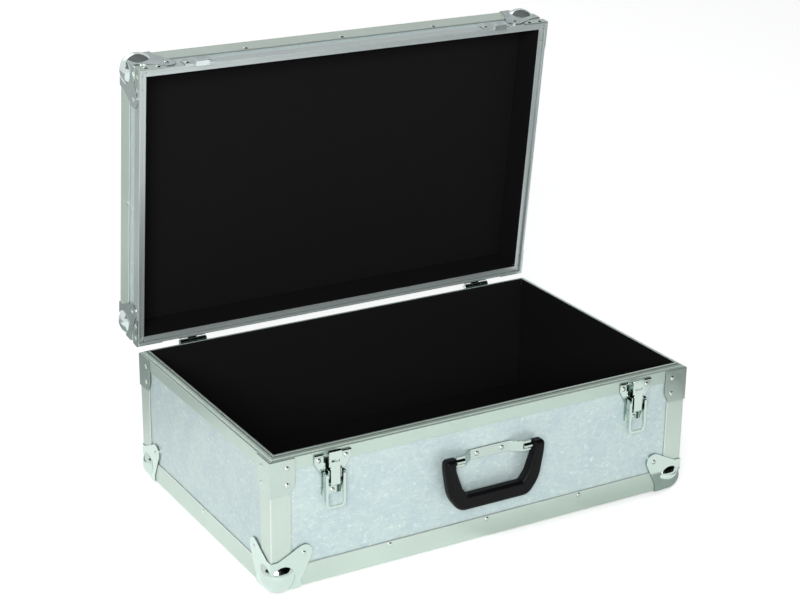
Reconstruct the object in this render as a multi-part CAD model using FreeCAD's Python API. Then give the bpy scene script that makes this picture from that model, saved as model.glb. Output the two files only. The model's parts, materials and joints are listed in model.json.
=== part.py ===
# Aluminium carrying case with a hinged lid, two draw latches and a swing handle.
# Millimetres. X runs along the front, the front faces -Y, Z is up, the floor is Z = 0.
# The lid is built closed and then swung open to its hinge stop, which is the rest position.
import FreeCAD, Part
import math
import os

# Overall case, measured over the flat edge profiles
case_width = 560.0
case_depth = 354.0
base_height = 158.0
lid_height = 56.0
lid_gap = 0.8
lid_open_angle = 83.7

# Walls: embossed sheet on plywood, lined inside
sheet_thickness = 0.5
plywood_thickness = 6.5
lining_thickness = 2.0

# Angle profiles along the outer edges
profile_wall = 1.2
edge_leg = 26.0
post_leg = 25.0

# Rim extrusions around the two open edges
rim_leg = 15.0
rim_web = 1.2
rim_inner_wall = 1.0
rim_inner_leg = 5.0
rim_shoulder_width = 2.6
rim_shoulder_fall = 0.4
rim_step_run = 0.4
rim_step_height = 1.8
rim_slope_run = 2.8
rim_slope_rise = 0.8
rim_groove_width = 1.4
rim_groove_floor = 1.2
rim_lip_height = 3.8
rim_side_clearance = 0.2
rim_top_clearance = 0.6
rim_lining_reveal = 0.5

# Ball corners
ball_radius = 21.2
ball_proud = 7.0
ball_wall = 1.5
ball_plate = 1.2
ball_notch_reach = 36.0
ball_notch_flat = 8.0
ball_ear_place = 40.0
ball_ear_radius = 10.5
ball_ear_spread = 70.0
ball_plate_chop = 20.0
corner_chop = 24.0

# Corner braces under the base rim and over the lid rim
brace_plate = 1.2
brace_inset = 0.6
brace_width = 30.0
brace_foot_width = 24.0
brace_height = 42.0
brace_taper_start = 30.0
brace_rivet_side = 20.0
brace_rivet_high = 11.0
brace_rivet_low = 31.0
lid_brace_length = 33.0
lid_brace_tip = 5.0
lid_brace_height = 12.5
lid_brace_shoulder = 21.0
lid_brace_rivet_near = 9.0
lid_brace_rivet_far = 25.0
lid_brace_rivet_rise = 5.2

# Rivets
rivet_head_radius = 3.0
rivet_head_height = 1.2
rivet_shank_radius = 1.6
rivet_grip = 6.0
rivet_clearance = 0.1
edge_rivet_spacing = 130.0
edge_rivet_rise = 21.5

# Stop hinges
hinge_inset = 73.0
hinge_width = 35.0
hinge_leaf = 1.5
hinge_leaf_height = 13.0
hinge_leaf_start = 1.2
hinge_axis_back = 5.6
hinge_axis_rise = 0.4
hinge_knuckle_radius = 3.6
hinge_knuckle_gap = 0.4
hinge_pin_radius = 1.6
hinge_web = 1.6
hinge_rivet_offset = 12.0

# Draw latches: plate on the base, lever, hook and the catch on the lid
latch_inset = 75.5
latch_plate = 1.2
latch_top_width = 45.0
latch_foot_width = 25.0
latch_top_drop = 3.0
latch_ear_drop = 13.0
latch_waist_drop = 30.0
latch_foot_drop = 53.0
latch_notch_width = 21.0
latch_notch_drop = 8.4
latch_bead_radius = 1.6
latch_rivet_side = 17.0
latch_rivet_drop = 10.5
latch_foot_rivet_drop = 49.0
latch_pivot_drop = 27.0
latch_pivot_out = 5.2
latch_pin_radius = 1.5
latch_cheek_inside = 7.0
latch_cheek = 1.2
latch_cheek_half_height = 5.0
latch_cheek_margin = 2.0
lever_width = 24.5
lever_frame = 3.0
lever_sheet = 1.2
lever_front = 9.5
lever_lug_radius = 3.6
latch_pin_overhang = 0.5
lever_bottom_drop = 67.5
lever_lug_back = 2.2
lever_lug_bottom = 43.0
lever_side_back = 6.0
lever_side_bottom = 60.0
lever_corner_radius = 5.0
hook_pin_drop = 12.0
hook_pin_out = 4.9
hook_pin_radius = 1.4
hook_barrel_radius = 2.9
hook_sheet = 1.2
hook_front = 8.6
hook_width = 15.5
hook_wide_drop = 17.5
hook_tongue_width = 11.5
hook_top_rise = 0.2
hook_lip_front = 4.6
hook_lip_drop = 3.6
hook_slot_width = 10.0
hook_slot_top_drop = 9.4
hook_slot_bottom_drop = 12.0
catch_width = 37.0
catch_height = 23.0
catch_top_width = 24.0
catch_tongue_width = 17.0
catch_sheet = 1.2
catch_stand_off = 0.3
catch_shelf_drop = 6.0
catch_reach = 6.5
catch_lip_drop = 1.5
catch_lip_width = 13.0
catch_rivet_side = 13.5
catch_rivet_rise = 8.0

# Swing handle: steel bracket, pivot pins and moulded grip
bracket_height = 12.5
bracket_sheet = 1.5
bracket_drop = 48.0
bracket_ramp_run = 14.0
bracket_barrel_length = 11.0
bracket_side_gap = 1.5
bracket_barrel_radius = 3.4
bracket_rivet_inset = 9.0
handle_pivot_out = 10.0
handle_pin_radius = 2.0
handle_pin_depth = 9.5
grip_width = 134.0
grip_arm_width = 14.5
grip_foot_inset = 20.0
grip_top_drop = 42.5
grip_bottom_drop = 109.0
grip_shoulder_drop = 56.0
grip_knee_drop = 90.0
grip_knee_inset = 6.0
grip_bar_height = 19.0
grip_gap_knee_inset = 23.0
grip_gap_foot_inset = 30.0
grip_gap_knee_drop = 80.0
grip_back = 3.0
grip_depth = 14.0
grip_round = 4.4
grip_gap_bend = 14.0
grip_shoulder_bend = 60.0
grip_knee_bend = 40.0
grip_gap_corner = 4.0
grip_top_corner = 5.0
grip_foot_corner = 16.0
grip_pin_end_gap = 0.5

# Running clearance of pins in what turns on them, and the overrun of cuts
pin_clearance = 0.06
overrun = 5.0

half_width = case_width / 2
half_depth = case_depth / 2
wall_thickness = sheet_thickness + plywood_thickness
wall_outside = profile_wall
wall_inside = profile_wall + wall_thickness
lining_inside = wall_inside + lining_thickness
base_underside = ball_proud
rim_level = base_underside + base_height
lid_level = rim_level + lid_gap
lid_top = lid_level + lid_height
rim_inside = wall_inside + rim_inner_wall
mitre_reach = lining_inside + edge_leg
hinge_place = half_width - hinge_inset
latch_place = half_width - latch_inset
grip_half = grip_width / 2
grip_gap_half = grip_half - grip_arm_width
grip_gap_foot_half = grip_half - grip_gap_foot_inset
bracket_end = grip_gap_half - bracket_side_gap
bracket_ramp_end = bracket_end - bracket_barrel_length
bracket_flat = bracket_ramp_end - bracket_ramp_run
bracket_rivet_place = bracket_flat - bracket_rivet_inset
handle_pin_seat = grip_gap_half + handle_pin_depth
hinge_y = half_depth + hinge_axis_back
hinge_z = rim_level + hinge_axis_rise

side_names = ("front", "back", "left", "right")
side_turns = {"front": 0, "back": 180, "left": -90, "right": 90}
x_axis = FreeCAD.Vector(1, 0, 0)
y_axis = FreeCAD.Vector(0, 1, 0)
z_axis = FreeCAD.Vector(0, 0, 1)
origin = FreeCAD.Vector(0, 0, 0)


def box(x_low, x_high, y_low, y_high, z_low, z_high):
    corner = FreeCAD.Vector(x_low, y_low, z_low)
    return Part.makeBox(x_high - x_low, y_high - y_low, z_high - z_low, corner)


def cylinder(radius, start, end):
    run = end - start
    return Part.makeCylinder(radius, run.Length, start, run)


def slab(points, extrusion):
    wire = Part.makePolygon(list(points) + [points[0]])
    return Part.Face(wire).extrude(extrusion)


def moved(shape, x, y, z):
    copy = shape.copy()
    copy.translate(FreeCAD.Vector(x, y, z))
    return copy


def turned(shape, angle):
    copy = shape.copy()
    copy.rotate(origin, z_axis, angle)
    return copy


def mirrored(shape, axis):
    return shape.mirror(origin, axis)


def pair(shape):
    return [shape, mirrored(shape, x_axis)]


def four_corners(shape):
    left = [shape, mirrored(shape, y_axis)]
    return left + [mirrored(solid, x_axis) for solid in left]


def fused(shapes):
    return shapes[0].fuse(shapes[1:]).removeSplitter()


def side_half_length(side):
    return half_width if side in ("front", "back") else half_depth


def side_offset(side):
    return half_depth if side in ("front", "back") else half_width


def side_box(side, inward_low, inward_high, end_inset, z_low, z_high):
    # A flat board along one side, given by its distances inward from the outer profile face
    half = side_half_length(side) - end_inset
    face = -side_offset(side)
    board = box(-half, half, face + inward_low, face + inward_high, z_low, z_high)
    return turned(board, side_turns[side])


def mitred_bar(side, section):
    # A profile along one side, cut at 45 degrees at both ends; section holds (inward, height)
    half = side_half_length(side)
    face = -side_offset(side)
    points = [FreeCAD.Vector(-half, face + inward, height) for inward, height in section]
    bar = slab(points, x_axis * (half * 2))
    low = min(height for inward, height in section) - overrun
    high = max(height for inward, height in section) + overrun
    plan = [
        FreeCAD.Vector(-half, face, low),
        FreeCAD.Vector(half, face, low),
        FreeCAD.Vector(half - mitre_reach, face + mitre_reach, low),
        FreeCAD.Vector(-half + mitre_reach, face + mitre_reach, low),
    ]
    bar = bar.common(slab(plan, z_axis * (high - low)))
    return turned(bar, side_turns[side])


def corner_saw(chop):
    # Tetrahedron that takes a case corner off under a ball, in the corner's own octant
    reach = chop + overrun * 2
    apex = FreeCAD.Vector(-overrun, -overrun, -overrun)
    tips = [
        FreeCAD.Vector(reach, -overrun, -overrun),
        FreeCAD.Vector(-overrun, reach, -overrun),
        FreeCAD.Vector(-overrun, -overrun, reach),
    ]
    rings = [tips, [apex, tips[0], tips[1]], [apex, tips[1], tips[2]], [apex, tips[2], tips[0]]]
    faces = [Part.Face(Part.makePolygon(ring + [ring[0]])) for ring in rings]
    saw = Part.makeSolid(Part.makeShell(faces))
    if saw.Volume < 0:
        saw.reverse()
    return saw


def at_base_corners(shape):
    return four_corners(moved(shape, -half_width, -half_depth, base_underside))


def at_lid_corners(shape):
    return four_corners(moved(mirrored(shape, z_axis), -half_width, -half_depth, lid_top))


def wall_boards(outer_level, inner_level, open_level):
    # Four plywood walls standing on the floor board, front and back between the corners
    boards = {}
    low = min(inner_level, open_level)
    high = max(inner_level, open_level)
    outside = wall_outside + sheet_thickness
    for side in side_names:
        inset = outside if side in ("front", "back") else wall_inside
        boards[side] = side_box(side, outside, wall_inside, inset, low, high)
    floor_low = min(outer_level, inner_level)
    floor_high = max(outer_level, inner_level)
    boards["flat"] = box(
        outside - half_width, half_width - outside, outside - half_depth, half_depth - outside,
        floor_low, floor_high)
    return boards


def wall_sheets(outer_level, flat_level, open_level):
    # Embossed sheets glued on the outside of the five boards
    low = min(outer_level, open_level)
    high = max(outer_level, open_level)
    backs = wall_outside + sheet_thickness
    sheets = []
    for side in side_names:
        inset = wall_outside if side in ("front", "back") else backs
        sheets.append(side_box(side, wall_outside, backs, inset, low, high))
    sheets.append(box(
        backs - half_width, half_width - backs, backs - half_depth, half_depth - backs,
        min(outer_level, flat_level), max(outer_level, flat_level)))
    return sheets


def wall_linings(board_level, leg_level, rim_end_level):
    # Felt on the four boards, thinner where it covers the inner leg of the rim
    low = min(board_level, leg_level)
    high = max(board_level, leg_level)
    flap_low = min(leg_level, rim_end_level)
    flap_high = max(leg_level, rim_end_level)
    sheets = []
    for side in side_names:
        long_side = side in ("front", "back")
        inset = wall_inside if long_side else lining_inside
        flap_inset = rim_inside if long_side else lining_inside
        sheet = side_box(side, wall_inside, lining_inside, inset, low, high)
        flap = side_box(side, rim_inside, lining_inside, flap_inset, flap_low, flap_high)
        sheets.append(fused([sheet, flap]))
    return Part.makeCompound(sheets)


def flat_lining(low, high):
    x_reach = half_width - lining_inside
    y_reach = half_depth - lining_inside
    return box(-x_reach, x_reach, -y_reach, y_reach, low, high)


def edge_profile(side, level, up):
    # Equal-leg angle along an outer edge, one leg flat on the floor or top
    section = [
        (0, level),
        (edge_leg, level),
        (edge_leg, level + up * profile_wall),
        (profile_wall, level + up * profile_wall),
        (profile_wall, level + up * edge_leg),
        (0, level + up * edge_leg),
    ]
    return mitred_bar(side, section)


def corner_posts(low, high):
    outer = box(-half_width, post_leg - half_width, -half_depth, post_leg - half_depth, low, high)
    inner_x = profile_wall - half_width
    inner_y = profile_wall - half_depth
    hollow = box(inner_x, inner_x + post_leg, inner_y, inner_y + post_leg, low, high)
    return four_corners(outer.cut(hollow))


def base_rim(side):
    # Outer leg, sloped shoulder, groove, raised lip and a short inner leg over the plywood
    step = rim_shoulder_width + rim_step_run
    slope_end = step + rim_slope_run
    groove_end = slope_end + rim_groove_width
    section = [
        (0, -rim_leg),
        (0, 0),
        (rim_shoulder_width, rim_shoulder_fall),
        (step, rim_step_height),
        (slope_end, rim_step_height + rim_slope_rise),
        (slope_end, rim_groove_floor),
        (groove_end, rim_groove_floor),
        (groove_end, rim_lip_height),
        (rim_inside, rim_lip_height),
        (rim_inside, -rim_inner_leg),
        (wall_inside, -rim_inner_leg),
        (wall_inside, -rim_web),
        (profile_wall, -rim_web),
        (profile_wall, -rim_leg),
    ]
    return mitred_bar(side, [(inward, rim_level + height) for inward, height in section])


def lid_rim(side):
    # Outer land that meets the base shoulder, and a rebate that takes the raised base lip
    land = rim_shoulder_width - rim_side_clearance
    rebate = rim_lip_height - lid_gap + rim_top_clearance
    seat = rebate + rim_web
    section = [
        (0, rim_leg),
        (0, 0),
        (land, 0),
        (land, rebate),
        (rim_inside, rebate),
        (rim_inside, seat + rim_inner_leg),
        (wall_inside, seat + rim_inner_leg),
        (wall_inside, seat),
        (profile_wall, seat),
        (profile_wall, rim_leg),
    ]
    return mitred_bar(side, [(inward, lid_level + height) for inward, height in section])


def lid_rim_seat():
    return lid_level + rim_lip_height - lid_gap + rim_top_clearance + rim_web


def ball_corner(exposed_height):
    # Pressed steel corner: a hollow ball and three riveted plates, in the corner's own octant
    spread = math.radians(ball_ear_spread)
    diagonal = math.radians(45)

    def ear_point(angle):
        x = ball_ear_place + ball_ear_radius * math.cos(angle)
        y = ball_ear_place + ball_ear_radius * math.sin(angle)
        return FreeCAD.Vector(x, y, -ball_plate)

    start = ear_point(diagonal - spread)
    end = ear_point(diagonal + spread)
    root = FreeCAD.Vector(-ball_plate, -ball_plate, -ball_plate)
    notch = FreeCAD.Vector(ball_notch_reach, -ball_plate, -ball_plate)
    shelf = FreeCAD.Vector(ball_notch_reach, ball_notch_flat, -ball_plate)
    far_shelf = FreeCAD.Vector(ball_notch_flat, ball_notch_reach, -ball_plate)
    far_notch = FreeCAD.Vector(-ball_plate, ball_notch_reach, -ball_plate)
    outline = Part.Face(Part.Wire([
        Part.makeLine(root, notch),
        Part.makeLine(notch, shelf),
        Part.makeLine(shelf, start),
        Part.Arc(start, ear_point(diagonal), end).toShape(),
        Part.makeLine(end, far_shelf),
        Part.makeLine(far_shelf, far_notch),
        Part.makeLine(far_notch, root),
    ]))
    plate = outline.extrude(z_axis * ball_plate).cut(corner_saw(ball_plate_chop))
    # Each ear also reaches down to the sheet where it stands clear of the profiles
    reach = ball_ear_place + ball_ear_radius + overrun
    ear_space = box(edge_leg, reach, edge_leg, reach, -ball_plate, profile_wall)
    pad = outline.extrude(z_axis * (ball_plate + profile_wall)).common(ear_space)
    plates = on_three_faces(plate)
    limit = box(-reach, reach, -reach, reach, -reach, exposed_height)
    pads = [solid.common(limit) for solid in on_three_faces(pad)]
    inset = ball_radius - ball_proud
    centre = FreeCAD.Vector(inset, inset, inset)
    core = box(0, reach, 0, reach, 0, reach).cut(corner_saw(corner_chop))
    ball = Part.makeSphere(ball_radius, centre).fuse(plates)
    ball = ball.cut([Part.makeSphere(ball_radius - ball_wall, centre), core])
    return fused([ball] + pads)


def on_three_faces(shape):
    copies = []
    for turn in (0, 120, 240):
        copy = shape.copy()
        copy.rotate(origin, FreeCAD.Vector(1, 1, 1), turn)
        copies.append(copy)
    return copies


def rounded_face(points, radii):
    # Flat outline whose corners are tangent arcs; a radius of zero keeps the corner sharp
    edges = []
    joints = []
    count = len(points)
    for index in range(count):
        corner = points[index]
        before = (points[index - 1] - corner).normalize()
        after = (points[(index + 1) % count] - corner).normalize()
        radius = radii[index]
        if radius == 0:
            joints.append((corner, None, corner))
            continue
        half = before.getAngle(after) / 2
        middle = (before + after).normalize()
        centre = corner + middle * (radius / math.sin(half))
        length = radius / math.tan(half)
        joints.append((corner + before * length, centre - middle * radius, corner + after * length))
    for index in range(count):
        start, top, end = joints[index]
        if top is not None:
            edges.append(Part.Arc(start, top, end).toShape())
        edges.append(Part.makeLine(end, joints[(index + 1) % count][0]))
    return Part.Face(Part.Wire(edges))


def front_point(across, out, up):
    return FreeCAD.Vector(across, -out, up)


def front_box(across_low, across_high, out_low, out_high, up_low, up_high):
    return box(across_low, across_high, -out_high, -out_low, up_low, up_high)


def front_slab(outline, out_low, out_high):
    points = [front_point(across, out_low, up) for across, up in outline]
    return slab(points, y_axis * (out_low - out_high))


def cross_pin(radius, half_length, out, up):
    return cylinder(radius, front_point(-half_length, out, up), front_point(half_length, out, up))


def fastener():
    # Domed rivet facing -Y with its seat at the origin, and the drill for its hole
    dome_radius = (rivet_head_radius ** 2 + rivet_head_height ** 2) / (rivet_head_height * 2)
    dome_depth = dome_radius - rivet_head_height
    low_angle = math.degrees(math.asin(dome_depth / dome_radius))
    dome = Part.makeSphere(dome_radius, front_point(0, -dome_depth, 0), -y_axis, low_angle, 90, 360)
    tip = front_point(0, -rivet_grip, 0)
    rivet = dome.fuse(cylinder(rivet_shank_radius, origin, tip)).removeSplitter()
    drill_tip = front_point(0, -rivet_grip - rivet_clearance, 0)
    drill = cylinder(rivet_shank_radius + rivet_clearance, front_point(0, overrun, 0), drill_tip)
    return Part.makeCompound([rivet.Solids[0], drill])


def fastener_down():
    copy = fastener()
    copy.rotate(origin, x_axis, 90)
    return copy


def side_fasteners(side, places, level):
    copies = []
    for place in places:
        copy = moved(fastener(), place, -side_offset(side), level)
        copies.append(turned(copy, side_turns[side]))
    return copies


def edge_places(side):
    return (-edge_rivet_spacing, 0, edge_rivet_spacing) if side in ("front", "back") else (0,)


def edge_fasteners(level, up):
    # Rivets along both legs of the four outer edge profiles
    copies = []
    flat = fastener_down()
    if up < 0:
        flat = mirrored(flat, z_axis)
    for side in side_names:
        copies += side_fasteners(side, edge_places(side), level + up * edge_rivet_rise)
        for place in edge_places(side):
            copy = moved(flat, place, edge_rivet_rise - side_offset(side), level)
            copies.append(turned(copy, side_turns[side]))
    return copies


def ear_fasteners():
    seat = moved(fastener_down(), ball_ear_place, ball_ear_place, -ball_plate)
    return on_three_faces(seat)


def both_ways(shape):
    # A piece on the front face of a corner and the same piece on its side face
    return [shape, shape.mirror(origin, FreeCAD.Vector(1, -1, 0))]


def base_brace():
    outline = [
        (-brace_plate, -brace_inset),
        (brace_width, -brace_inset),
        (brace_width, -brace_taper_start),
        (brace_foot_width, -brace_height),
        (-brace_plate, -brace_height),
    ]
    plate = front_slab(outline, 0, brace_plate)
    brace = fused(both_ways(plate))
    return moved(brace, -half_width, -half_depth, rim_level)


def base_brace_fasteners():
    copies = []
    for drop in (brace_rivet_high, brace_rivet_low):
        copies += both_ways(moved(fastener(), brace_rivet_side, -brace_plate, -drop))
    return [moved(copy, -half_width, -half_depth, rim_level) for copy in copies]


def lid_brace():
    outline = [
        (-brace_plate, brace_inset),
        (lid_brace_length, brace_inset),
        (lid_brace_length, lid_brace_tip),
        (lid_brace_shoulder, lid_brace_height),
        (-brace_plate, lid_brace_height),
    ]
    plate = front_slab(outline, 0, brace_plate)
    brace = fused(both_ways(plate))
    return moved(brace, -half_width, -half_depth, lid_level)


def lid_brace_fasteners():
    copies = []
    for place in (lid_brace_rivet_near, lid_brace_rivet_far):
        copies += both_ways(moved(fastener(), place, -brace_plate, lid_brace_rivet_rise))
    return [moved(copy, -half_width, -half_depth, lid_level) for copy in copies]


def to_back(shape):
    # From the front face's frame to the back face, with heights kept
    return turned(moved(shape, 0, -half_depth, 0), side_turns["back"])


def hinge_leaf_blank(up):
    start = up * hinge_leaf_start
    end = up * (hinge_leaf_start + hinge_leaf_height)
    half = hinge_width / 2
    return front_box(-half, half, 0, hinge_leaf, min(start, end), max(start, end))


def hinge_knuckle(across_low, across_high, up):
    # Rolled knuckle on the axis and the strap that joins it to its leaf
    start = front_point(across_low, hinge_axis_back, hinge_axis_rise)
    end = front_point(across_high, hinge_axis_back, hinge_axis_rise)
    outer = hinge_axis_rise + up * hinge_knuckle_radius
    inner = outer - up * hinge_web
    strap = front_box(
        across_low, across_high, 0, hinge_axis_back, min(outer, inner), max(outer, inner))
    bore = cylinder(hinge_pin_radius + pin_clearance, start, end)
    return cylinder(hinge_knuckle_radius, start, end).fuse(strap).cut(bore)


def hinge_base_leaf():
    half = hinge_width / 2
    third = hinge_width / 6 + hinge_knuckle_gap / 2
    leaf = fused([
        hinge_leaf_blank(-1),
        hinge_knuckle(-half, -third, -1),
        hinge_knuckle(third, half, -1),
    ])
    return leaf


def hinge_lid_leaf():
    third = hinge_width / 6 - hinge_knuckle_gap / 2
    leaf = moved(hinge_leaf_blank(1), 0, 0, lid_gap)
    return fused([leaf, hinge_knuckle(-third, third, 1)])


def hinge_fasteners(up, level):
    rise = up * (hinge_leaf_start + hinge_leaf_height / 2)
    places = (-hinge_rivet_offset, hinge_rivet_offset)
    return [moved(fastener(), place, -hinge_leaf, level + rise) for place in places]


def latch_base_plate():
    # Riveted plate with eared top, two rolled beads, and cheeks that carry the lever pivot
    top = latch_top_width / 2
    foot = latch_foot_width / 2
    notch = latch_notch_width / 2
    outline = [
        (-top, -latch_top_drop),
        (-notch, -latch_top_drop),
        (-notch, -latch_notch_drop),
        (notch, -latch_notch_drop),
        (notch, -latch_top_drop),
        (top, -latch_top_drop),
        (top, -latch_ear_drop),
        (foot, -latch_waist_drop),
        (foot, -latch_foot_drop),
        (-foot, -latch_foot_drop),
        (-foot, -latch_waist_drop),
        (-top, -latch_ear_drop),
    ]
    plate = front_slab(outline, 0, latch_plate)
    below_rim = front_box(-top, top, -profile_wall, 0, -latch_foot_drop, -rim_leg)
    seat = front_slab(outline, -profile_wall, 0).common(below_rim)
    bead_up = -latch_top_drop - latch_bead_radius
    bead = cylinder(
        latch_bead_radius,
        front_point(notch, latch_bead_radius, bead_up),
        front_point(top, latch_bead_radius, bead_up))
    cheek = front_box(
        latch_cheek_inside, latch_cheek_inside + latch_cheek,
        0, latch_pivot_out + latch_cheek_margin,
        -latch_pivot_drop - latch_cheek_half_height, -latch_pivot_drop + latch_cheek_half_height)
    body = fused([plate, seat] + pair(bead) + pair(cheek))
    bore = cross_pin(latch_pin_radius + pin_clearance, top, latch_pivot_out, -latch_pivot_drop)
    return body.cut(bore)


def latch_fasteners():
    seat = -latch_plate
    places = [
        (-latch_rivet_side, -latch_rivet_drop),
        (latch_rivet_side, -latch_rivet_drop),
        (0, -latch_foot_rivet_drop),
    ]
    return [moved(fastener(), across, seat, up) for across, up in places]


def latch_pivot_pin():
    half = lever_width / 2 + latch_pin_overhang
    return cross_pin(latch_pin_radius, half, latch_pivot_out, -latch_pivot_drop)


def latch_lever():
    # U-shaped pull ring with folded sides that turn on the pivot pin
    half = lever_width / 2
    inner = half - lever_frame
    bottom = -lever_bottom_drop
    top = -latch_pivot_drop
    back = lever_front - lever_sheet
    outline = [
        (-half, top),
        (-half, bottom),
        (half, bottom),
        (half, top),
        (inner, top),
        (inner, bottom + lever_frame),
        (-inner, bottom + lever_frame),
        (-inner, top),
    ]
    inner_radius = lever_corner_radius - lever_frame / 2
    radii = [0, lever_corner_radius, lever_corner_radius, 0, 0, inner_radius, inner_radius, 0]
    points = [front_point(across, back, up) for across, up in outline]
    ring = rounded_face(points, radii).extrude(-y_axis * lever_sheet)
    side_outline = [
        (lever_front, top),
        (lever_lug_back, top),
        (lever_lug_back, -lever_lug_bottom),
        (lever_side_back, -lever_side_bottom),
        (lever_front, -lever_side_bottom),
    ]
    points = [front_point(half - lever_sheet, out, up) for out, up in side_outline]
    side = slab(points, x_axis * lever_sheet)
    lug = cylinder(
        lever_lug_radius,
        front_point(half - lever_sheet, latch_pivot_out, top),
        front_point(half, latch_pivot_out, top))
    lever = fused([ring] + pair(side) + pair(lug))
    bores = [
        cross_pin(latch_pin_radius + pin_clearance, half, latch_pivot_out, top),
        cross_pin(hook_pin_radius + pin_clearance, half, hook_pin_out, top - hook_pin_drop),
    ]
    return lever.cut(bores)


def latch_hook_pin():
    half = lever_width / 2 + latch_pin_overhang
    return cross_pin(hook_pin_radius, half, hook_pin_out, -latch_pivot_drop - hook_pin_drop)


def latch_hook():
    # Bent strap: barrel on the hook pin, tongue, slotted wide head, top web and inner lip
    pin_up = -latch_pivot_drop - hook_pin_drop
    wide = hook_width / 2
    narrow = hook_tongue_width / 2
    back = hook_front - hook_sheet
    web = hook_top_rise - hook_sheet
    head = front_box(-wide, wide, back, hook_front, -hook_wide_drop, hook_top_rise)
    tongue = front_box(-narrow, narrow, back, hook_front, pin_up, -hook_wide_drop)
    slot = front_box(
        -hook_slot_width / 2, hook_slot_width / 2, back - hook_sheet, hook_front + hook_sheet,
        -hook_slot_bottom_drop, -hook_slot_top_drop)
    lip_back = hook_lip_front - hook_sheet
    top = front_box(-wide, wide, lip_back, hook_front, web, hook_top_rise)
    lip = front_box(-wide, wide, lip_back, hook_lip_front, -hook_lip_drop, hook_top_rise)
    barrel = cross_pin(hook_barrel_radius, narrow, hook_pin_out, pin_up)
    body = fused([head, tongue, top, lip, barrel])
    bore = cross_pin(hook_pin_radius + pin_clearance, narrow, hook_pin_out, pin_up)
    return body.cut([bore, slot])


def latch_catch():
    # Plate riveted to the lid with a tongue that bends out and up for the hook
    half = catch_width / 2
    top_half = catch_top_width / 2
    shoulder = catch_height - (half - top_half)
    outline = [
        (-half, 0),
        (half, 0),
        (half, shoulder),
        (top_half, catch_height),
        (-top_half, catch_height),
        (-half, shoulder),
    ]
    outline = [(across, lid_gap + up) for across, up in outline]
    plate = front_slab(outline, 0, catch_sheet)
    rim_top = lid_gap + rim_leg
    above_rim = front_box(-half, half, -profile_wall, 0, rim_top, lid_gap + catch_height)
    seat = front_slab(outline, -profile_wall, 0).common(above_rim)
    tongue_half = catch_tongue_width / 2
    lip_half = catch_lip_width / 2
    tongue_front = catch_stand_off + catch_sheet
    shelf_top = catch_sheet - catch_shelf_drop
    tongue = front_box(
        -tongue_half, tongue_half, catch_stand_off, tongue_front, -catch_shelf_drop,
        lid_gap + catch_sheet)
    shelf = front_box(
        -tongue_half, tongue_half, catch_stand_off, catch_reach, -catch_shelf_drop, shelf_top)
    lip = front_box(
        -lip_half, lip_half, catch_reach - catch_sheet, catch_reach, -catch_shelf_drop,
        -catch_lip_drop)
    return fused([plate, seat, tongue, shelf, lip])


def catch_fasteners():
    places = (-catch_rivet_side, catch_rivet_side)
    rise = lid_gap + catch_rivet_rise
    return [moved(fastener(), place, -catch_sheet, rise) for place in places]


def handle_bracket():
    # Steel strip: flat in the middle, ramped out to a barrel for each pivot pin
    low = -profile_wall
    high = handle_pivot_out - bracket_sheet / 2
    ramp = math.atan2(high - low, bracket_ramp_end - bracket_flat)
    shift = bracket_sheet * math.tan(ramp / 2)
    right = [
        (bracket_flat, low),
        (bracket_ramp_end, high),
        (bracket_end, high),
        (bracket_end, high + bracket_sheet),
        (bracket_ramp_end - shift, high + bracket_sheet),
        (bracket_flat - shift, low + bracket_sheet),
    ]
    outline = right + [(-across, out) for across, out in reversed(right)]
    bottom = -bracket_drop - bracket_height / 2
    points = [front_point(across, out, bottom) for across, out in outline]
    strip = slab(points, z_axis * bracket_height)
    start = front_point(bracket_ramp_end, handle_pivot_out, -bracket_drop)
    end = front_point(bracket_end, handle_pivot_out, -bracket_drop)
    barrels = pair(cylinder(bracket_barrel_radius, start, end))
    bores = pair(cylinder(handle_pin_radius + pin_clearance, start, end))
    return fused([strip] + barrels).cut(bores)


def bracket_fasteners():
    places = (-bracket_rivet_place, bracket_rivet_place)
    seat = profile_wall - bracket_sheet
    return [moved(fastener(), place, seat, -bracket_drop) for place in places]


def handle_pivot_pin():
    start = front_point(bracket_ramp_end, handle_pivot_out, -bracket_drop)
    end = front_point(handle_pin_seat, handle_pivot_out, -bracket_drop)
    return cylinder(handle_pin_radius, start, end)


def handle_grip():
    # Moulded U-shaped grip with all long edges rounded, bored blind for the two pins
    right = [
        (grip_gap_foot_half, -grip_bottom_drop + grip_bar_height, grip_gap_corner),
        (grip_half - grip_gap_knee_inset, -grip_gap_knee_drop, grip_gap_bend),
        (grip_gap_half, -grip_shoulder_drop, grip_gap_bend),
        (grip_gap_half, -grip_top_drop, 0),
        (grip_half, -grip_top_drop, grip_top_corner),
        (grip_half, -grip_shoulder_drop, grip_shoulder_bend),
        (grip_half - grip_knee_inset, -grip_knee_drop, grip_knee_bend),
        (grip_half - grip_foot_inset, -grip_bottom_drop, grip_foot_corner),
    ]
    outline = right + [(-across, up, radius) for across, up, radius in reversed(right)]
    points = [front_point(across, grip_back, up) for across, up, radius in outline]
    face = rounded_face(points, [radius for across, up, radius in outline])
    grip = face.extrude(-y_axis * grip_depth)
    rims = [edge for edge in grip.Edges if edge.BoundBox.YLength < grip_round]
    grip = grip.makeFillet(grip_round, rims)
    start = front_point(bracket_end, handle_pivot_out, -bracket_drop)
    end = front_point(handle_pin_seat + grip_pin_end_gap, handle_pivot_out, -bracket_drop)
    return grip.cut(pair(cylinder(handle_pin_radius + pin_clearance, start, end)))


def at_front(shape):
    return moved(shape, 0, -half_depth, rim_level)


def at_latch(shape, hand):
    return moved(at_front(shape), hand * latch_place, 0, 0)


def at_hinge(shape, hand):
    return moved(to_back(moved(shape, 0, 0, rim_level)), hand * hinge_place, 0, 0)


def drilled(shape, fasteners):
    drills = [item.Solids[1] for item in fasteners]
    drills = [drill for drill in drills if drill.BoundBox.intersect(shape.BoundBox)]
    return shape.cut(drills) if drills else shape


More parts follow.
